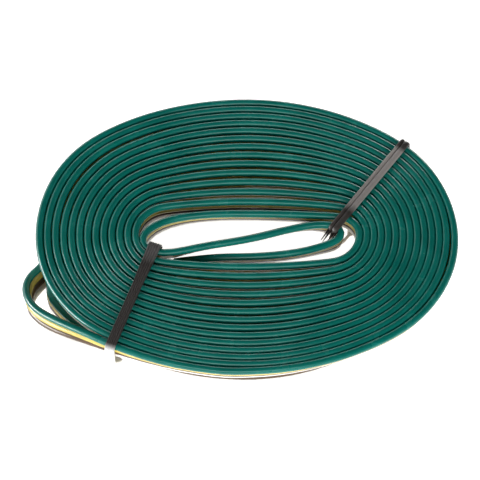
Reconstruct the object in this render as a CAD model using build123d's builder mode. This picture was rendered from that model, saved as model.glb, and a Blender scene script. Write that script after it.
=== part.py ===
"""Trailer wire as it is sold: four insulated copper wires bonded side by side into a flat
ribbon, the ribbon wound on edge into a flat oval coil two layers deep, and the coil held
by two plastic ties. Green lies on top, then yellow, brown and white.

The wire starts at its inner end in the opening, doubles to and fro there, winds outward
clockwise through the upper layer, leaves it at the front in a free loop, and winds inward
through the lower layer. Millimetres, +Z up, the coil lying flat with its long axis on X.
"""
import math
import os
from collections import namedtuple

from build123d import *

os.makedirs("parts", exist_ok=True)

# The ribbon: one wire over the other, bonded along their touching sides
colours = ("green", "yellow", "brown", "white")
wire_diameter = 2.7
bond_share = 0.09
core_diameter = 1.5
core_sides = 8
core_clearance = 0.05
core_length = 5.0

# The layers: half axes to the back, right, front and left of the coil's middle, which grow
# turn by turn from the inner oval to the outer one
Layer = namedtuple("Layer", "first last inner outer slack_share")
turn_quarters = 4
end_share = 0.86
quarter_angle = 90.0
half_share = 0.5

upper_turns = 13.5
upper_inner_oval = (7.8, 42.1, 10.0, 38.9)
upper_outer_oval = (62.2, 82.3, 60.8, 83.9)
upper_slack_share = 0.25

# The lower layer is drawn from below, so its front comes first
lower_turns = 9.25
lower_first_turn_share = 0.5
lower_inner_oval = (25.5, 43.5, 23.5, 47.5)
lower_outer_oval = (57.0, 71.0, 51.0, 82.0)
lower_slack_share = 0.0

# The groove between one turn and the next, seen from above
groove_width = 0.6
groove_depth = 1.35
groove_steps = 3
rim_steps = 5

# The coil stands this far off the middle, since the loop reaches out on one side
coil_shift = (2.6, 0.0)

# The loop from the upper layer down to the lower: shares of the outer oval's half axes, then
# of the ribbon's height
loop_shares = (
    (-0.122, -0.979, 1.00),
    (-0.362, -0.920, 1.00),
    (-0.591, -0.805, 1.00),
    (-0.745, -0.683, 0.88),
    (-0.888, -0.569, 0.63),
    (-0.985, -0.461, 0.39),
    (-1.025, -0.329, 0.18),
    (-1.012, -0.194, 0.00),
)
loop_landing = 6.0

# The inner end, doubled to and fro in the opening: shares of the inner oval's half axes, then
# of the ribbon's height
tail_lead = 10.0
tail_shares = (
    (-0.566, 0.962, 1.00),
    (-0.835, 0.513, 1.00),
    (-1.010, -0.080, 1.00),
    (-0.974, -0.650, 1.00),
    (-0.787, -0.900, 1.00),
    (-0.424, -0.560, 1.00),
    (0.059, -0.220, 1.00),
    (0.404, 0.295, 1.00),
    (0.677, 0.603, 1.00),
    (0.862, 0.474, 1.00),
    (0.888, -0.220, 1.00),
    (0.727, -0.620, 1.00),
    (0.439, -0.920, 1.00),
    (0.095, -1.020, 0.95),
    (-0.244, -1.020, 0.81),
    (-0.540, -1.000, 0.58),
)
bend_share = 0.45

# The ties: flat plastic straps of two ribs with a crease between, their ends twisted off
tie_thickness = 1.2
tie_web = 0.6
tie_slack = 0.7
tie_fit = 0.1
crease_share = 0.2
neck_share = 0.6
left_tie_width = 5.4
left_tie_foot_share = (-0.895, -0.540)
left_tie_far_share = (-0.591, -0.748)
right_tie_width = 4.0
right_tie_foot_share = (0.808, 0.231)
right_tie_far_share = (0.739, 0.616)
prong_length = 3.4
prong_root = 2.2
prong_tip = 0.8
prong_drops = (1.0, 3.4)
prong_spread = 1.1

ribbon_height = wire_diameter * len(colours)
coil_height = 2 * ribbon_height
upper_last = int(upper_turns * turn_quarters)
lower_first = int(lower_first_turn_share * turn_quarters)
lower_last = lower_first + int(lower_turns * turn_quarters)
upper = Layer(0, upper_last, upper_inner_oval, upper_outer_oval, upper_slack_share)
lower = Layer(lower_first, lower_last, lower_inner_oval, lower_outer_oval, lower_slack_share)
coil_middle = Vector(*coil_shift, 0)


def station(layer, quarter):
    """The back, right, front or left point of the spiral line after so many quarter turns."""
    side = quarter % turn_quarters
    grown = (quarter - layer.first) / (layer.last + turn_quarters - layer.first)
    if side % 2 == 0:
        grown += layer.slack_share * grown * (1 - grown)
    half_axis = layer.inner[side] + (layer.outer[side] - layer.inner[side]) * grown
    return Vector(*((0, 1), (1, 0), (0, -1), (-1, 0))[side]) * half_axis


def wind(layer, start, end, mode=Mode.ADD):
    """Draws the spiral line: a long side arc and a tight end arc, tangent, to each quarter."""
    drawn = []
    here = station(layer, start)
    heading = ((1, 0), (0, -1), (-1, 0), (0, 1))[start % turn_quarters]
    for quarter in range(start, end):
        there = station(layer, quarter + 1)
        along = abs(there.X - here.X)
        across = abs(there.Y - here.Y)
        end_radius = end_share * across
        side_radius = (along**2 - 2 * along * end_radius + across**2) / (2 * (across - end_radius))
        end_sweep = math.degrees(math.atan2(side_radius - across, along - end_radius))
        arcs = [(side_radius, quarter_angle - end_sweep), (end_radius, end_sweep)]
        if quarter % 2:
            arcs.reverse()
        for radius, sweep_angle in arcs:
            arc = JernArc(here, heading, radius, -sweep_angle, mode=mode)
            drawn.append(arc)
            here = arc @ 1
            heading = arc % 1
    return drawn


def chords(layer, start, end, steps, aside=0):
    """Points along the spiral line, so many to an arc, or along one a little aside of it."""
    beside = layer._replace(
        inner=[half + aside for half in layer.inner],
        outer=[half + aside for half in layer.outer],
    )
    arcs = wind(beside, start, end, mode=Mode.PRIVATE)
    points = [arc @ (step / steps) for arc in arcs for step in range(steps)]
    return points + [arcs[-1] @ 1]


def rim(layer, start):
    """Draws one closed turn of the spiral line, the step where it has grown by one wire included."""
    wind(layer, start, start + turn_quarters)
    Line(station(layer, start + turn_quarters), station(layer, start))


def bends(points):
    """Bend radii that leave a straight stretch between each bend and the next."""
    radii = []
    for before, corner, after in zip(points, points[1:], points[2:]):
        run_in = corner - before
        run_out = after - corner
        half_turn = math.radians(run_in.get_angle(run_out)) * half_share
        radii.append(bend_share * min(run_in.length, run_out.length) / math.tan(half_turn))
    return radii


def level(index):
    """Height of the middle of a wire above the foot of its ribbon."""
    return ribbon_height - (index + half_share) * wire_diameter


def place(shares, oval, height=0):
    """A point in the coil, given as shares of an oval's half axes, and of a height."""
    back, right, front, left = oval
    x = shares[0] * (right if shares[0] > 0 else left)
    y = shares[1] * (back if shares[1] > 0 else front)
    return coil_middle + Vector(x, y, shares[-1] * height)


def tie_axes(foot_share, far_share):
    """A tie's upright plane: its foot in the opening at the origin, outward on X, up on Y."""
    foot = place(foot_share, upper.inner)
    outward = (place(far_share, upper.outer) - foot).normalized()
    return Plane(origin=foot, x_dir=outward, z_dir=outward.cross(Vector(0, 0, 1)))


upper_plane = Plane(origin=coil_middle)
lower_plane = Plane(origin=coil_middle, x_dir=(1, 0, 0), z_dir=(0, 0, -1))
left_tie_plane = tie_axes(left_tie_foot_share, left_tie_far_share)
right_tie_plane = tie_axes(right_tie_foot_share, right_tie_far_share)

# Centre lines of the two free stretches, along the foot of the ribbon
loop_points = [place(shares, upper.outer, ribbon_height) for shares in loop_shares]
loop_start = Vector(coil_middle.X, loop_points[0].Y, ribbon_height)
loop_end = coil_middle + Vector(half_share * wire_diameter - lower.outer[-1], 0)
loop_points = [loop_start, *loop_points, loop_end - Vector(0, loop_landing), loop_end]

tail_points = [place(shares, upper.inner, ribbon_height) for shares in tail_shares]
tail_start = coil_middle + station(upper, upper.first)
tail_start += Vector(0, half_share * wire_diameter, ribbon_height)
tail_points = [tail_start, tail_start - Vector(tail_lead, 0), *tail_points]

with BuildLine() as tail_line:
    FilletPolyline(*tail_points, radius=bends(tail_points))

# How far each tie reaches out from its foot to clear the upper layer and the lower one
with BuildLine() as upper_rim:
    rim(upper, upper.last)

with BuildLine() as lower_rim:
    rim(lower, lower.last)

flat_loop = [Vector(point.X, point.Y) for point in loop_points]
with BuildLine() as loop_plan:
    FilletPolyline(*flat_loop, radius=bends(flat_loop))


def reach(tie_plane, line_plane, line):
    """Distance from a tie's foot out to a line round the coil, in plan."""
    start = line_plane.to_local_coords(tie_plane.origin)
    beyond = line_plane.to_local_coords(tie_plane.origin + tie_plane.x_dir)
    with BuildLine() as ray:
        IntersectingLine(start, beyond - start, line)
    return ray.edge().length


left_reach = reach(left_tie_plane, Plane.XY, loop_plan.line) + half_share * wire_diameter + tie_slack
right_reach = reach(right_tie_plane, upper_plane, upper_rim.line) + tie_slack
left_lower_reach = reach(left_tie_plane, lower_plane, lower_rim.line) + tie_slack
right_lower_reach = reach(right_tie_plane, lower_plane, lower_rim.line) + tie_slack

# Upper layer: the turns of each wire, the groove of the winding showing on the topmost
for index, colour in enumerate(colours):
    with BuildPart() as turns:
        foot = ribbon_height + level(index) - half_share * wire_diameter
        with BuildSketch(upper_plane.offset(foot)):
            with BuildLine():
                rim(upper, upper.last)
            make_face()
            with BuildLine():
                rim(upper, upper.first)
            make_face(mode=Mode.SUBTRACT)
        extrude(amount=wire_diameter)
        if index == 0:
            half_groove = half_share * groove_width
            with BuildSketch(upper_plane.offset(coil_height)):
                with BuildLine():
                    first_groove = upper.first + turn_quarters
                    outer_edge = chords(upper, first_groove, upper.last, groove_steps, half_groove)
                    inner_edge = chords(upper, first_groove, upper.last, groove_steps, -half_groove)
                    Polyline(*outer_edge, *reversed(inner_edge), close=True)
                make_face()
            extrude(amount=-groove_depth, mode=Mode.SUBTRACT)
    turns.part.label = f"{colour}_upper_turns"
    export_step(turns.part, f"parts/{colour}_upper_turns.step")

# Lower layer: wound inward, so its plan is drawn from below, and slotted for the ties
lower_end = coil_middle - station(lower, lower.first) + Vector(0, half_share * wire_diameter)
for index, colour in enumerate(colours):
    with BuildPart() as turns:
        top = level(index) + half_share * wire_diameter
        with BuildSketch(lower_plane.offset(-top)):
            with BuildLine():
                Polyline(*chords(lower, lower.last, lower.last + turn_quarters, rim_steps), close=True)
            make_face()
            with BuildLine():
                Polyline(*chords(lower, lower.first, lower.first + turn_quarters, rim_steps), close=True)
            make_face(mode=Mode.SUBTRACT)
        extrude(amount=wire_diameter)
        with BuildSketch(Plane(origin=lower_end + Vector(0, 0, level(index)), z_dir=(-1, 0, 0))):
            RegularPolygon(half_share * core_diameter + core_clearance, core_sides)
        extrude(amount=core_length, mode=Mode.SUBTRACT)
        if index == len(colours) - 1:
            for plane, width, length in (
                (left_tie_plane, left_tie_width, left_lower_reach),
                (right_tie_plane, right_tie_width, right_lower_reach),
            ):
                with BuildSketch(plane):
                    with Locations((half_share * length, 0)):
                        Rectangle(length + 2 * tie_slack, 2 * (tie_thickness + tie_fit))
                extrude(amount=half_share * width + tie_fit, both=True, mode=Mode.SUBTRACT)
    turns.part.label = f"{colour}_lower_turns"
    export_step(turns.part, f"parts/{colour}_lower_turns.step")

# The free stretches of each wire: the loop outside the coil and the doubled inner end. One
# tube is guided by the same line a ribbon higher, which keeps it upright, then stacked
tube_side = wire_diameter * (1 - bond_share)
for stretch, points in (("outer_loop", loop_points), ("inner_tail", tail_points)):
    with BuildPart() as tube:
        with BuildLine() as route:
            FilletPolyline(*points, radius=bends(points))
        with BuildLine() as guide:
            FilletPolyline(*[point + Vector(0, 0, ribbon_height) for point in points], radius=bends(points))
        start = Plane(origin=route.wire() @ 0, x_dir=(0, 0, 1), z_dir=route.wire() % 0)
        with BuildSketch(start) as section:
            Rectangle(tube_side, tube_side)
        sweep(sections=section.sketch, path=route.line, binormal=guide.wire())
        if stretch == "inner_tail":
            with BuildSketch(Plane(origin=route.wire() @ 1, z_dir=route.wire() % 1)):
                RegularPolygon(half_share * core_diameter + core_clearance, core_sides)
            extrude(amount=-core_length, mode=Mode.SUBTRACT)
    print(stretch, "length", route.wire().length, "bends", [round(radius, 1) for radius in bends(points)])
    plain_volume = section.sketch.area * route.wire().length
    print(stretch, "volume over section and length", tube.part.volume / plain_volume)
    for index, colour in enumerate(colours):
        with BuildPart() as stacked:
            with Locations((0, 0, level(index))):
                add(tube.part)
        stacked.part.label = f"{colour}_{stretch}"
        export_step(stacked.part, f"parts/{colour}_{stretch}.step")

# Copper at the cut ends, flush with the insulation
with BuildPart() as cores:
    for index in range(len(colours)):
        rise = Vector(0, 0, level(index))
        with BuildSketch(Plane(origin=tail_line.wire() @ 1 + rise, z_dir=tail_line.wire() % 1)):
            RegularPolygon(half_share * core_diameter, core_sides)
        extrude(amount=-core_length)
        with BuildSketch(Plane(origin=lower_end + rise, z_dir=(-1, 0, 0))):
            RegularPolygon(half_share * core_diameter, core_sides)
        extrude(amount=core_length)
cores.part.label = "copper_cores"
export_step(cores.part, "parts/copper_cores.step")

# The ties: a closed strap over the top, down outside both layers, under and up the opening
for name, plane, width, top_reach, foot_reach in (
    ("left_tie", left_tie_plane, left_tie_width, left_reach, left_lower_reach),
    ("right_tie", right_tie_plane, right_tie_width, right_reach, right_lower_reach),
):
    rib = half_share * width * (1 - crease_share)
    inside = (
        (0, tie_thickness),
        (foot_reach, tie_thickness),
        (top_reach, ribbon_height),
        (top_reach, coil_height + tie_fit),
        (0, coil_height + tie_fit),
    )
    with BuildPart() as tie:
        for side, breadth, thickness in (
            (-half_share * width, rib, tie_thickness),
            (half_share * width - rib, rib, tie_thickness),
            (rib - half_share * width, width - 2 * rib, tie_web),
        ):
            with BuildSketch(plane.offset(side)):
                with BuildLine():
                    Polyline(*inside, close=True)
                make_face()
                offset(amount=thickness, kind=Kind.INTERSECTION)
                with BuildLine():
                    Polyline(*inside, close=True)
                make_face(mode=Mode.SUBTRACT)
            extrude(amount=breadth)
        neck_cut = half_share * width * (1 - neck_share)
        for side in (-half_share * width, half_share * width - neck_cut):
            with BuildSketch(plane.offset(side)):
                with Locations((0, coil_height + tie_fit)):
                    Rectangle(tie_thickness, coil_height + tie_fit, align=(Align.MAX, Align.MAX))
            extrude(amount=neck_cut, mode=Mode.SUBTRACT)
        for side, drop in zip((-half_share * width, half_share * width - rib), prong_drops):
            neck = coil_height - drop
            with BuildSketch(plane.offset(side)):
                with BuildLine():
                    Polyline(
                        (-half_share * tie_thickness, neck),
                        (-prong_length, neck - prong_spread),
                        (-prong_length, neck - prong_spread - prong_tip),
                        (-half_share * tie_thickness, neck - prong_root),
                        close=True,
                    )
                make_face()
            extrude(amount=rib)
    tie.part.label = name
    export_step(tie.part, f"parts/{name}.step")
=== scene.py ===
import math

import bmesh
import bpy
from mathutils import Matrix, Vector


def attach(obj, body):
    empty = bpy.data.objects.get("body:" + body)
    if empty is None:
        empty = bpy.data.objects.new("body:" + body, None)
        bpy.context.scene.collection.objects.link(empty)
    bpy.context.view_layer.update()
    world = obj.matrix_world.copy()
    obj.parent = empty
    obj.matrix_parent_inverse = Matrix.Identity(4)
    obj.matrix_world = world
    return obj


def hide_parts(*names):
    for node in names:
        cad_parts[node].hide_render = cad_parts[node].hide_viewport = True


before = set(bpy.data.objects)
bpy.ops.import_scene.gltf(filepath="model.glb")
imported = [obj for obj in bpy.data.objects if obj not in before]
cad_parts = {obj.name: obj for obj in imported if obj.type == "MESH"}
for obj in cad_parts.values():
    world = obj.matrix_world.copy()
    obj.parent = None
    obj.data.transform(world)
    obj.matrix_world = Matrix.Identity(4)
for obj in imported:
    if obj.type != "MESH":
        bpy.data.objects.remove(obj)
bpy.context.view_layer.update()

# The camera looks down on the front of the coil from well back, so its ovals stay even.
# It aims at the top of the upper layer, a little in front of the coil's middle.
collection = bpy.context.scene.collection
coil_middle = Vector((0.0026, 0.0, 0.0))
camera_aim = coil_middle + Vector((-0.00212, -0.00316, 0.0216))
camera_rise = math.radians(60.0)
camera_distance = 1.15
back_off = Vector((0.0, -math.cos(camera_rise), math.sin(camera_rise)))
camera_data = bpy.data.cameras.new("camera")
camera_data.sensor_width = 36.0
camera_data.lens = 223.4
camera_data.clip_start = 0.05
camera_data.clip_end = 20.0
camera = bpy.data.objects.new("camera", camera_data)
camera.location = camera_aim + camera_distance * back_off
camera.rotation_mode = "QUATERNION"
camera.rotation_quaternion = (-back_off).to_track_quat("-Z", "Y")
collection.objects.link(camera)
bpy.context.scene.camera = camera

# The ribbon of four bonded wires, extruded PVC over stranded copper, wound on edge by hand.
# One cord of each colour runs the whole way: inner end, upper turns, loop, lower turns.
# Hand winding lets the ribbon lean, so each station has a place for its top wire and a lean.
wire = 0.0027
wire_shown = 0.00297
ribbon_height = 4 * wire
top_level = 2 * ribbon_height - wire / 2
millimetre = 0.001
end_radius_share = 0.86
ways_out = [Vector(way) for way in ((0, 1, 0), (1, 0, 0), (0, -1, 0), (-1, 0, 0))]
stations = []


def eased(stops, place):
    """The value at a place among stops, eased smoothly from each stop to the next."""
    for (start, low), (end, high) in zip(stops, stops[1:]):
        if start <= place <= end:
            share = (place - start) / (end - start)
            return low + (high - low) * share * share * (3 - 2 * share)
    return stops[-1][1]


def quarter_turn(here, there, side, steps=5):
    """Points of a clockwise quarter turn: a long side arc and a tight end arc that meet smoothly."""
    along = abs(there.x - here.x)
    across = abs(there.y - here.y)
    end_radius = end_radius_share * across
    side_radius = (along**2 - 2 * along * end_radius + across**2) / (2 * (across - end_radius))
    end_sweep = math.atan2(side_radius - across, along - end_radius)
    arcs = [(side_radius, math.pi / 2 - end_sweep), (end_radius, end_sweep)]
    if side % 2:
        arcs.reverse()
    heading = ways_out[(side + 1) % 4]
    points = []
    for radius, sweep in arcs:
        centre = here + radius * Vector((heading.y, -heading.x, 0))
        for step in range(steps):
            points.append(centre + Matrix.Rotation(-sweep * step / steps, 3, "Z") @ (here - centre))
        here = centre + Matrix.Rotation(-sweep, 3, "Z") @ (here - centre)
        heading = Matrix.Rotation(-sweep, 3, "Z") @ heading
    return points


def put(x, y, drop, lean):
    """Adds a station: millimetres from the coil's middle and from the top level, and degrees of lean."""
    place = coil_middle + Vector((x, y, drop)) * millimetre + Vector((0, 0, top_level))
    stations.append((place, lean))


# The inner end, cut off low at the front, then to and fro across the opening.
for x, y, drop, lean in (
    (-27.5, -7.2, -8.6, -14), (-19.0, -8.0, -5.2, -18), (-9.5, -8.9, -2.0, -20), (4.0, -9.6, -0.5, -20),
    (18.5, -8.4, 0, -21), (29.0, -5.6, 0, -20), (37.2, -1.9, 0, -12), (36.6, 3.6, 0, 6),
    (28.5, 4.9, 0, 25), (17.0, 2.5, 0, 30), (2.5, -1.9, 0, 30), (-16.5, -5.2, 0, 30),
    (-30.6, -8.8, 0, 24), (-38.6, -6.5, 0, 6), (-40.4, -0.6, 0, -4), (-34.2, 5.2, 0, -14),
    (-23.5, 8.3, 0, -20), (-10.5, 9.4, 0, -22),
):
    put(x, y, drop, lean)

# The upper turns, wound outward clockwise, looser at the front and back than at the ends.
# Half axes are in millimetres, in the order back, right, front, left. Stops are in degrees
# clockwise from the back, but those of the forward tip count quarter turns.
upper_quarters = 54
upper_start = Vector((0, 9.4, 0))
upper_inner = (7.8, 42.1, 10.0, 38.9)
upper_outer = (63.6, 82.8, 60.8, 83.9)
looser_share = 0.25
outer_lean = ((0, 6), (80, 8), (120, 18), (150, 24), (180, 20), (230, 20), (255, 14), (290, 10), (360, 6))
slump_power = 2.5
forward_tip = ((0, 22), (1.5, 17), (4, 11), (12, 17), (54, 17))
right_slack = ((0, 0), (70, 0), (98, 0.6), (122, 0.35), (150, 0.1), (178, 0), (360, 0))
right_slack_from = 50
left_slack = ((0, 0), (265, 0), (312, 1.5), (352, 0), (360, 0))
left_slack_from = 20
left_slack_full = 42.5
left_slack_share = 0.4
upper_spots = [upper_start]
for quarter in range(1, upper_quarters + 1):
    side = quarter % 4
    half_axis = 0.0
    for edge in (quarter, quarter + 4):
        grown = edge / (upper_quarters + 4)
        if side % 2 == 0:
            grown += looser_share * grown * (1 - grown)
        half_axis += 0.5 * (upper_inner[side] + (upper_outer[side] - upper_inner[side]) * grown)
    upper_spots.append(half_axis * ways_out[side])
for quarter in range(upper_quarters):
    arc_points = quarter_turn(upper_spots[quarter], upper_spots[quarter + 1], quarter % 4)
    for step, spot in enumerate(arc_points):
        turned = quarter + step / len(arc_points)
        bearing = 90.0 * turned % 360.0
        if turned > right_slack_from:
            spot += eased(right_slack, bearing) * spot.normalized()
        share = 1.0
        if turned <= left_slack_full:
            grown = max(0.0, turned - left_slack_from) / (left_slack_full - left_slack_from)
            share = left_slack_share * grown
        spot += share * eased(left_slack, bearing) * spot.normalized()
        tipped = -eased(forward_tip, turned) * math.cos(math.radians(bearing))
        slump = (turned / upper_quarters) ** slump_power
        put(spot.x, spot.y, 0, tipped * (1 - slump) + eased(outer_lean, bearing) * slump)

# The free loop, out at the front left and down under the upper layer's edge.
for x, y, drop, lean in (
    (0.0, -59.5, 0, 20), (-10.2, -59.5, 0, 20), (-30.4, -55.95, 0, 20), (-49.6, -48.95, 0, 12),
    (-62.5, -41.5, -1.3, -6), (-74.5, -34.6, -4.0, -14), (-82.2, -28.0, -6.6, -5), (-85.4, -20.0, -8.9, 14),
    (-84.0, -13.0, -10.4, 30), (-80.0, -8.8, -10.8, 24), (-77.3, -4.5, -10.8, 8),
):
    put(x, y, drop, lean)

# The lower turns, wound inward clockwise beneath the upper ones, upright where they bear the load.
# The outermost strand bulges beside the loop, by stops in degrees from the left to the front.
lower_quarters = 37
lower_drop = -ribbon_height / millimetre
lower_outer = (49.65, 69.65, 55.65, 76.8)
lower_inner = (24.85, 44.85, 26.85, 48.85)
bulge = ((0, 0), (4, 0), (14, 7.0), (26, 4.8), (40, 1.5), (55, 0), (90, 0))
bulging_quarter = 3
lower_spots = []
for quarter in range(lower_quarters + 1):
    side = (quarter + 3) % 4
    grown = quarter / lower_quarters
    half_axis = lower_outer[side] + (lower_inner[side] - lower_outer[side]) * grown
    lower_spots.append(half_axis * ways_out[side])
for quarter in range(lower_quarters):
    for spot in quarter_turn(lower_spots[quarter], lower_spots[quarter + 1], (quarter + 3) % 4):
        if quarter == bulging_quarter:
            spot += eased(bulge, math.degrees(math.atan2(-spot.y, -spot.x))) * spot.normalized()
        put(spot.x, spot.y, lower_drop, 0)
put(lower_spots[-1].x, lower_spots[-1].y, lower_drop, 0)

# The insulation's skin: faint clouds of tone and gloss from the die, and a fine grain.
skin = bpy.data.node_groups.new("insulation_skin", "ShaderNodeTree")
skin.interface.new_socket("Colour", in_out="INPUT", socket_type="NodeSocketColor")
skin.interface.new_socket("Colour", in_out="OUTPUT", socket_type="NodeSocketColor")
skin.interface.new_socket("Roughness", in_out="OUTPUT", socket_type="NodeSocketFloat")
skin.interface.new_socket("Normal", in_out="OUTPUT", socket_type="NodeSocketVector")
skin_in = skin.nodes.new("NodeGroupInput")
skin_out = skin.nodes.new("NodeGroupOutput")
place = skin.nodes.new("ShaderNodeTexCoord")


def skin_noise(scale, detail):
    """A noise over the object that other nodes of the skin read."""
    noise = skin.nodes.new("ShaderNodeTexNoise")
    noise.inputs["Scale"].default_value = scale
    noise.inputs["Detail"].default_value = detail
    skin.links.new(place.outputs["Object"], noise.inputs["Vector"])
    return noise


def skin_range(noise, lowest, highest):
    """The middle of a noise's range, spread from the lowest value to the highest."""
    spread = skin.nodes.new("ShaderNodeMapRange")
    spread.inputs["From Min"].default_value = 0.3
    spread.inputs["From Max"].default_value = 0.7
    spread.inputs["To Min"].default_value = lowest
    spread.inputs["To Max"].default_value = highest
    skin.links.new(noise.outputs["Fac"], spread.inputs["Value"])
    return spread.outputs["Result"]


cloud = skin_noise(90.0, 3.0)
grain = skin_noise(1800.0, 2.0)
tone = skin.nodes.new("ShaderNodeHueSaturation")
bump = skin.nodes.new("ShaderNodeBump")
bump.inputs["Strength"].default_value = 0.08
bump.inputs["Distance"].default_value = 0.0001
skin.links.new(skin_range(cloud, 0.86, 1.12), tone.inputs["Value"])
skin.links.new(skin_in.outputs["Colour"], tone.inputs["Color"])
skin.links.new(grain.outputs["Fac"], bump.inputs["Height"])
skin.links.new(tone.outputs["Color"], skin_out.inputs["Colour"])
skin.links.new(skin_range(cloud, 0.16, 0.30), skin_out.inputs["Roughness"])
skin.links.new(bump.outputs["Normal"], skin_out.inputs["Normal"])

# The four wires of the ribbon, green on top, each laid through the stations at its own rank.
wire_colours = (
    ("green", (0.0010, 0.138, 0.110, 1.0)),
    ("yellow", (0.63, 0.50, 0.115, 1.0)),
    ("brown", (0.09, 0.054, 0.030, 1.0)),
    ("white", (0.85, 0.82, 0.78, 1.0)),
)
wire_ends = []
for rank, (colour, value) in enumerate(wire_colours):
    line = []
    for index, (spot, lean) in enumerate(stations):
        run = stations[min(index + 1, len(stations) - 1)][0] - stations[max(index - 1, 0)][0]
        outward = Vector((-run.y, run.x, 0.0)).normalized()
        tilt = math.radians(lean)
        line.append(spot - rank * wire * (math.sin(tilt) * outward + math.cos(tilt) * Vector((0, 0, 1))))
    curve = bpy.data.curves.new(f"{colour}_wire", "CURVE")
    curve.dimensions = "3D"
    curve.resolution_u = 3
    curve.bevel_depth = wire_shown / 2
    curve.bevel_resolution = 4
    curve.use_fill_caps = True
    spline = curve.splines.new("NURBS")
    spline.points.add(len(line) - 1)
    for point, spot in zip(spline.points, line):
        point.co = (spot.x, spot.y, spot.z, 1.0)
    spline.order_u = 3
    spline.use_endpoint_u = True
    spline.use_smooth = True
    cord = bpy.data.objects.new(f"{colour}_wire", curve)
    collection.objects.link(cord)
    material = bpy.data.materials.new(f"{colour}_pvc")
    material.use_nodes = True
    nodes, links = material.node_tree.nodes, material.node_tree.links
    shader = nodes["Principled BSDF"]
    surface = nodes.new("ShaderNodeGroup")
    surface.node_tree = skin
    surface.inputs["Colour"].default_value = value
    shader.inputs["Specular IOR Level"].default_value = 0.5
    links.new(surface.outputs["Colour"], shader.inputs["Base Color"])
    links.new(surface.outputs["Roughness"], shader.inputs["Roughness"])
    links.new(surface.outputs["Normal"], shader.inputs["Normal"])
    curve.materials.append(material)
    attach(cord, "root")
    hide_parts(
        f"{colour}_upper_turns", f"{colour}_lower_turns", f"{colour}_outer_loop", f"{colour}_inner_tail",
    )
    wire_ends.append((line[0], (line[0] - line[1]).normalized()))
    wire_ends.append((line[-1], (line[-1] - line[-2]).normalized()))

# The copper at the cut ends: nineteen bright drawn strands laid together in each wire,
# sheared off a hair proud of the insulation.
strand_radius = 0.00014
strand_length = 0.004
strand_proud = 0.0001
strand_rings = ((0.0, 1), (0.00029, 6), (0.00057, 12))
copper_form = bmesh.new()
for end, way in wire_ends:
    facing = Matrix.Translation(end) @ way.to_track_quat("Z", "Y").to_matrix().to_4x4()
    for ring_radius, count in strand_rings:
        for number in range(count):
            angle = 2 * math.pi * number / count
            sunk = strand_proud - strand_length / 2
            offset = Vector((ring_radius * math.cos(angle), ring_radius * math.sin(angle), sunk))
            bmesh.ops.create_cone(
                copper_form, cap_ends=True, segments=8, radius1=strand_radius, radius2=strand_radius,
                depth=strand_length, matrix=facing @ Matrix.Translation(offset),
            )
copper_mesh = bpy.data.meshes.new("copper_strands")
copper_form.to_mesh(copper_mesh)
copper_form.free()
copper_strands = bpy.data.objects.new("copper_strands", copper_mesh)
collection.objects.link(copper_strands)
copper = bpy.data.materials.new("copper")
copper.use_nodes = True
copper_shader = copper.node_tree.nodes["Principled BSDF"]
copper_shader.inputs["Base Color"].default_value = (0.72, 0.30, 0.14, 1.0)
copper_shader.inputs["Metallic"].default_value = 1.0
copper_shader.inputs["Roughness"].default_value = 0.28
copper_mesh.materials.append(copper)
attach(copper_strands, "root")
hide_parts("copper_cores")

# The ties: soft black plastic drawn with ribs along it, bent round both layers, and twisted off
# ragged in the opening. Their colour is painted grey in places as painted sheen, and pale where they turn
# under as painted light from the bright floor.
# A tie's foot is its place beside the opening, and its way points from there to the outside.
tie_thickness = 0.0012
tie_middle = tie_thickness / 2
tie_height = 2 * ribbon_height + 0.0001
tie_bend = 0.0018
tie_step = 0.002
neck_share = 0.3
neck_reach = 0.012
taper_reach = 0.02
flat_share = 0.42
edge_share = 0.4
rib_steps = 8
rib_roundness = 0.7
splinters = (
    (-0.42, 0.0030, 0.0012), (-0.24, 0.0042, 0.0022), (-0.05, 0.0026, 0.0009),
    (0.12, 0.0046, 0.0026), (0.28, 0.0033, 0.0014), (0.44, 0.0039, 0.0030),
)
splinter_drop = 0.0005
splinter_stagger = 0.0004
splinter_sway = 0.0006
splinter_root = 0.00052
splinter_point = 0.00012
tie_black = (0.024, 0.020, 0.018, 1.0)
upward = Vector((0.0, 0.0, 1.0))


def tie_track(tuck, top_reach, low_reach):
    """The strap's middle line on its way round both layers: distances outward and up."""
    corners = [
        Vector((tuck - tie_middle, tie_middle)),
        Vector((-tie_middle, ribbon_height)),
        Vector((-tie_middle, tie_height + tie_middle)),
        Vector((top_reach + tie_middle, tie_height + tie_middle)),
        Vector((top_reach + tie_middle, ribbon_height)),
        Vector((low_reach + tie_middle, tie_middle)),
    ]
    track = []
    for index, corner in enumerate(corners):
        next_corner = corners[(index + 1) % len(corners)]
        before = (corners[index - 1] - corner).normalized()
        after = (next_corner - corner).normalized()
        start = corner + tie_bend * before
        end = corner + tie_bend * after
        for share in (0.0, 0.25, 0.5, 0.75, 1.0):
            track.append(start.lerp(corner, share).lerp(corner.lerp(end, share), share))
        straight = (next_corner - corner).length - 2 * tie_bend
        steps = max(2, int(straight / tie_step))
        for step in range(1, steps):
            track.append(corner + after * (tie_bend + straight * step / steps))
    return track


def tie_profile(width, ribs, valley):
    """The strap's cross-section: round ribs on the outside, and a flat inside with bevelled edges."""
    profile = []
    for centre, half in ribs:
        for step in range(rib_steps + 1):
            angle = math.pi * (1 - step / rib_steps)
            rise = valley + (0.5 - valley) * max(0.0, math.sin(angle)) ** rib_roundness
            profile.append((width * (centre + half * math.cos(angle)), tie_thickness * rise))
    profile.append((0.5 * width, -edge_share * tie_thickness))
    profile.append((flat_share * width, -tie_middle))
    profile.append((-flat_share * width, -tie_middle))
    profile.append((-0.5 * width, -edge_share * tie_thickness))
    return profile


def painted_light_at(painted_light_stops, travelled):
    """How much painted sheen and painted light the strap's colour takes at a distance along the strap."""
    for (start, low), (end, high) in zip(painted_light_stops, painted_light_stops[1:]):
        if start <= travelled <= end:
            return low + (high - low) * (travelled - start) / (end - start)
    return 0.0


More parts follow.
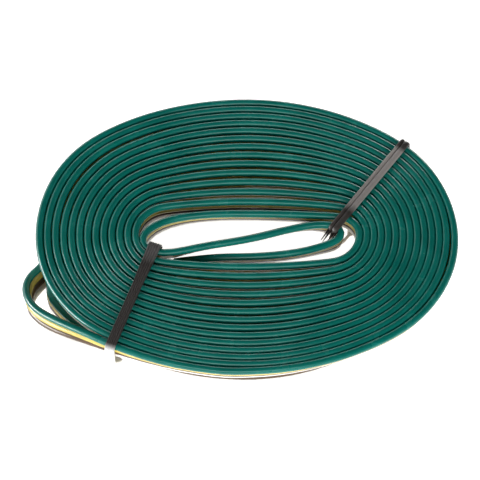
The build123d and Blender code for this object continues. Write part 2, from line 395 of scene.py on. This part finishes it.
def tie_plastic(name, painted_light_colour):
    """Black plastic with painted sheen and painted light mixed into its colour along the strap."""
    plastic = bpy.data.materials.new(f"{name}_plastic")
    plastic.use_nodes = True
    nodes, links = plastic.node_tree.nodes, plastic.node_tree.links
    shader = nodes["Principled BSDF"]
    shader.inputs["Specular IOR Level"].default_value = 0.35
    shader.inputs["Roughness"].default_value = 0.42
    # The painted light mask: grey painted sheen and pale painted light along the strap.
    painted_light_mask = nodes.new("ShaderNodeAttribute")
    painted_light_mask.attribute_name = "painted_light"
    spread = nodes.new("ShaderNodeMix")
    spread.data_type = "RGBA"
    spread.inputs["A"].default_value = tie_black
    spread.inputs["B"].default_value = painted_light_colour
    links.new(painted_light_mask.outputs["Fac"], spread.inputs["Factor"])
    links.new(spread.outputs["Result"], shader.inputs["Base Color"])
    return plastic


def make_tie(name, foot, way, track, profile, width, taper, torn, painted_light_stops, painted_light_colour):
    """Sweeps the profile along the track, adds the torn splinters and dresses the tie."""
    origin = coil_middle + Vector((foot[0], foot[1], 0.0))
    outward = Vector((way[0], way[1], 0.0))
    across = Vector((-way[1], way[0], 0.0))
    tie_form = bmesh.new()
    # Per vertex, how much painted sheen and painted light the strap's colour takes.
    painted_light = tie_form.verts.layers.float.new("painted_light")
    rings = []
    travelled = 0.0
    for index, spot in enumerate(track):
        ahead = (track[(index + 1) % len(track)] - track[index - 1]).normalized()
        outside = Vector((-ahead.y, ahead.x))
        if index:
            travelled += (spot - track[index - 1]).length
        narrowed = 1.0 - taper * max(0.0, min(1.0, spot.x / taper_reach))
        if spot.x < neck_reach and spot.y < tie_height - tie_thickness:
            narrowed = neck_share
        ring = []
        for sideways, thick in profile:
            flat = spot + thick * outside
            vertex = tie_form.verts.new(
                origin + flat.x * outward + flat.y * upward + narrowed * sideways * across
            )
            # Painted sheen and painted light, set by the distance along the strap.
            vertex[painted_light] = painted_light_at(painted_light_stops, travelled)
            ring.append(vertex)
        rings.append([tie_form.edges.new(pair) for pair in zip(ring, ring[1:] + ring[:1])])
    for ring, following in zip(rings, rings[1:] + rings[:1]):
        bmesh.ops.bridge_loops(tie_form, edges=ring + following)
    for number, (sideways, length, fall) in enumerate(splinters):
        level = tie_height - splinter_drop - splinter_stagger * (number % 3)
        root = origin + sideways * width * across + level * upward
        spike = torn * (-length * outward - fall * upward + splinter_sway * (number % 2) * across)
        bmesh.ops.create_cone(
            tie_form, cap_ends=True, segments=6, radius1=splinter_root, radius2=splinter_point,
            depth=spike.length,
            matrix=Matrix.Translation(root + spike / 2) @ spike.to_track_quat("Z", "Y").to_matrix().to_4x4(),
        )
    bmesh.ops.recalc_face_normals(tie_form, faces=tie_form.faces)
    tie_mesh = bpy.data.meshes.new(name)
    tie_form.to_mesh(tie_mesh)
    tie_form.free()
    tie_mesh.shade_smooth()
    tie_mesh.materials.append(tie_plastic(name, painted_light_colour))
    tie = bpy.data.objects.new(name, tie_mesh)
    collection.objects.link(tie)
    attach(tie, "root")
    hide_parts(name)


# The left tie, five fine ribs wide, tapers to its outer end, which is painted pale as painted light.
left_width = 0.0050
left_ribs = [(centre, 0.1) for centre in (-0.4, -0.2, 0.0, 0.2, 0.4)]
make_tie(
    "left_tie", foot=(-0.034816, -0.0054), way=(-0.3458, -0.9383),
    track=tie_track(tuck=0.0, top_reach=0.04762, low_reach=0.04115),
    profile=tie_profile(left_width, left_ribs, valley=0.28),
    width=left_width, taper=0.24, torn=0.4,
    # Painted light along the strap: a faint painted highlight near the inner end, and pale painted light
    # from the outer leg round the underside.
    painted_light_stops=(
        (0.0, 0.0), (0.0225, 0.01), (0.025, 0.08), (0.030, 0.05), (0.0315, 0.0), (0.036, 0.015),
        (0.0695, 0.015), (0.0715, 0.9), (0.076, 1.0), (0.200, 1.0),
    ),
    painted_light_colour=(0.80, 0.79, 0.78, 1.0),
)

# The right tie has two lobes, is painted grey as painted sheen but for a black band and cap, and its inner
# leg is tucked outward beneath the upper layer.
right_width = 0.0040
right_ribs = [(-0.2, 0.29), (0.31, 0.18)]
make_tie(
    "right_tie", foot=(0.034017, 0.001802), way=(0.5917, 0.8061),
    track=tie_track(tuck=0.008, top_reach=0.04868, low_reach=0.03696),
    profile=tie_profile(right_width, right_ribs, valley=-0.15),
    width=right_width, taper=0.0, torn=1.2,
    # Painted light along the strap: pale on the inner leg and where it turns under, black at a band and the
    # outer cap, and grey painted sheen along the top run.
    painted_light_stops=(
        (0.0, 1.0), (0.0193, 1.0), (0.0223, 0.02), (0.0328, 0.02), (0.0338, 0.0), (0.0363, 0.0),
        (0.0378, 0.25), (0.0698, 0.30), (0.0713, 0.0), (0.0848, 0.0), (0.0888, 1.0), (0.200, 1.0),
    ),
    painted_light_colour=(0.82, 0.76, 0.72, 1.0),
)

# The floor: a white sheet lit from beneath, as on a light table.
floor_half = 4.0
floor_form = bmesh.new()
bmesh.ops.create_grid(floor_form, x_segments=1, y_segments=1, size=floor_half)
floor_mesh = bpy.data.meshes.new("floor")
floor_form.to_mesh(floor_mesh)
floor_form.free()
floor = bpy.data.objects.new("floor", floor_mesh)
collection.objects.link(floor)
floor_paint = bpy.data.materials.new("floor_paint")
floor_paint.use_nodes = True
floor_shader = floor_paint.node_tree.nodes["Principled BSDF"]
floor_shader.inputs["Base Color"].default_value = (0.9, 0.9, 0.9, 1.0)
floor_shader.inputs["Roughness"].default_value = 0.9
floor_shader.inputs["Emission Color"].default_value = (1.0, 1.0, 1.0, 1.0)
floor_shader.inputs["Emission Strength"].default_value = 0.8
floor_mesh.materials.append(floor_paint)

# Soft studio light: four wide low boxes that light the wires evenly and leave the gaps dark,
# and smaller ones whose glare draws the thin bright lines along the wires.
for name, spot, size, height, power, glare in (
    ("front_fill", (0.0, -1.35, 0.40), 1.6, 0.5, 23.0, False),
    ("back_fill", (0.0, 1.35, 0.40), 1.6, 0.5, 13.5, False),
    ("left_fill", (-1.30, 0.0, 0.50), 1.6, 0.6, 13.0, False),
    ("right_fill", (1.30, 0.0, 0.50), 1.6, 0.6, 7.5, False),
    ("back_box", (0.0, 1.5, 0.24), 2.0, 0.28, 8.4, True),
    ("back_right_box", (0.63, 1.36, 0.30), 0.5, 0.16, 3.0, True),
    ("left_back_box", (-1.27, 0.80, 0.35), 1.0, 0.5, 4.8, True),
    ("left_front_box", (-1.30, -0.53, 0.55), 0.9, 0.6, 3.0, True),
    ("left_strip", (-1.485, -0.21, 0.20), 1.5, 0.38, 52.0, True),
    ("front_box", (-0.1, -1.15, 0.90), 1.0, 0.35, 5.0, True),
    ("high_front_box", (-0.2, -0.75, 1.25), 1.2, 0.9, 0.8, True),
):
    lamp = bpy.data.lights.new(name, "AREA")
    lamp.shape = "RECTANGLE"
    lamp.size = size
    lamp.size_y = height
    lamp.energy = power
    light = bpy.data.objects.new(name, lamp)
    light.location = spot
    light.rotation_mode = "QUATERNION"
    light.rotation_quaternion = (-Vector(spot)).to_track_quat("-Z", "Y")
    light.visible_glossy = glare
    light.visible_diffuse = not glare
    collection.objects.link(light)
room = bpy.data.worlds.new("room")
room.use_nodes = True
background = room.node_tree.nodes["Background"]
background.inputs["Color"].default_value = (1.0, 1.0, 1.0, 1.0)
background.inputs["Strength"].default_value = 0.03
bpy.context.scene.world = room
bpy.context.scene.view_settings.view_transform = "Standard"
